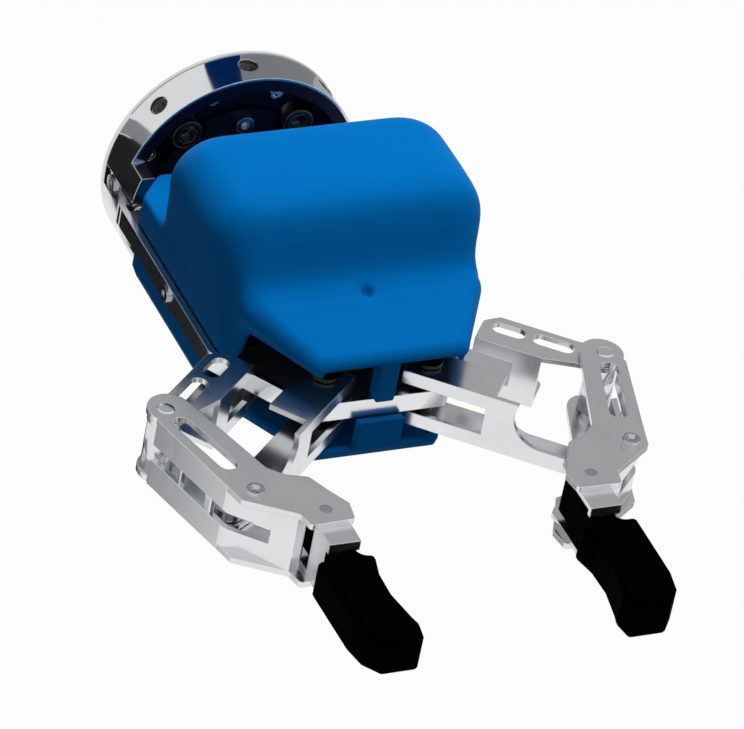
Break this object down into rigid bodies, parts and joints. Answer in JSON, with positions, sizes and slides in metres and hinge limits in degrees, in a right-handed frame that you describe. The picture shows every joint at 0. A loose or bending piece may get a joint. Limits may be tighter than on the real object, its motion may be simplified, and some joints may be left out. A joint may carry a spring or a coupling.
{
  "type": "electric two finger gripper",
  "caption": "Electric parallel gripper: round wrist ring, blue two-part cover with a motor bulge, and steel link arms that carry black rubber fingertips.",
  "frame": {"origin": "centre of the wrist mounting face on the ring axis", "axes": "+Z from the wrist towards the fingertips, -Y is the motor bulge side, X is the direction the fingers open"},
  "size_m": [0.146, 0.0845, 0.224],
  "materials": {
    "ring_steel": "satin",
    "disc": "satin",
    "screw_steel": "satin",
    "band_steel": "polished",
    "plate_alloy": "satin",
    "cover_blue": "satin",
    "link_steel": "satin",
    "gear_brass": "machined",
    "motor_steel": "satin",
    "motor_black": "matte",
    "board_green": "satin",
    "tip_rubber": "matte"
  },
  "bodies": {
    "housing": {"coupling_ring": "ring_steel", "adapter_disc": "disc", "ring_screws": "screw_steel", "clamp_plate": "disc", "clamp_screws": "screw_steel", "frame_band": "band_steel", "chassis_plate": "plate_alloy", "band_screws": "screw_steel", "front_cover": "cover_blue", "rear_cover": "cover_blue", "front_cover_screws": "screw_steel", "rear_cover_screws": "screw_steel", "outer_base_pins": "screw_steel", "inner_base_pins": "screw_steel", "motor_mount": "plate_alloy", "gearbox": "motor_steel", "motor_can": "motor_black", "motor_cap": "motor_steel", "pinion_bush": "gear_brass", "control_board": "board_green", "board_parts": "motor_black", "board_spacers": "gear_brass", "signal_socket": "motor_steel"},
    "pinion": {"drive_pinion": "motor_steel"},
    "left_outer": {"left_outer_link": "link_steel", "left_sector_gear": "gear_brass"},
    "left_inner": {"left_inner_link": "link_steel"},
    "left_finger": {"left_finger_bracket": "link_steel", "left_outer_pin": "screw_steel", "left_inner_stud": "screw_steel", "left_finger_screw": "screw_steel", "left_tip_holder": "link_steel", "left_tip_pin": "screw_steel", "left_fingertip": "tip_rubber"},
    "right_outer": {"right_outer_link": "link_steel", "right_sector_gear": "gear_brass"},
    "right_inner": {"right_inner_link": "link_steel"},
    "right_finger": {"right_finger_bracket": "link_steel", "right_outer_pin": "screw_steel", "right_inner_stud": "screw_steel", "right_finger_screw": "screw_steel", "right_tip_holder": "link_steel", "right_tip_pin": "screw_steel", "right_fingertip": "tip_rubber"}
  },
  "joints": [
    {"name": "pinion_spin", "type": "hinge", "parent": "housing", "child": "pinion", "pos_m": [-0.00284, 0, 0.06887], "axis": [0, 1, 0], "range_deg": [-75, 118]},
    {"name": "left_outer_pivot", "type": "hinge", "parent": "housing", "child": "left_outer", "pos_m": [0.027, 0, 0.089], "axis": [0, 1, 0], "range_deg": [-38.8, 24.5]},
    {"name": "left_inner_pivot", "type": "hinge", "parent": "housing", "child": "left_inner", "pos_m": [0.016, 0, 0.115], "axis": [0, 1, 0], "range_deg": [-38.8, 24.5]},
    {"name": "left_finger_pivot", "type": "hinge", "parent": "left_outer", "child": "left_finger", "pos_m": [0.0677, 0, 0.123], "axis": [0, 1, 0], "range_deg": [-24.5, 38.8]},
    {"name": "right_outer_pivot", "type": "hinge", "parent": "housing", "child": "right_outer", "pos_m": [-0.027, 0, 0.089], "axis": [0, -1, 0], "range_deg": [-38.8, 24.5]},
    {"name": "right_inner_pivot", "type": "hinge", "parent": "housing", "child": "right_inner", "pos_m": [-0.016, 0, 0.115], "axis": [0, -1, 0], "range_deg": [-38.8, 24.5]},
    {"name": "right_finger_pivot", "type": "hinge", "parent": "right_outer", "child": "right_finger", "pos_m": [-0.0677, 0, 0.123], "axis": [0, -1, 0], "range_deg": [-24.5, 38.8]}
  ],
  "couplings": [
    {"joint": "pinion_spin", "follows": "left_outer_pivot", "ratio": -3},
    {"joint": "left_inner_pivot", "follows": "left_outer_pivot", "ratio": 1},
    {"joint": "left_finger_pivot", "follows": "left_outer_pivot", "ratio": -1},
    {"joint": "right_inner_pivot", "follows": "left_outer_pivot", "ratio": 1},
    {"joint": "right_finger_pivot", "follows": "left_outer_pivot", "ratio": -1},
    {"joint": "right_outer_pivot", "follows": "left_outer_pivot", "ratio": 1}
  ]
}
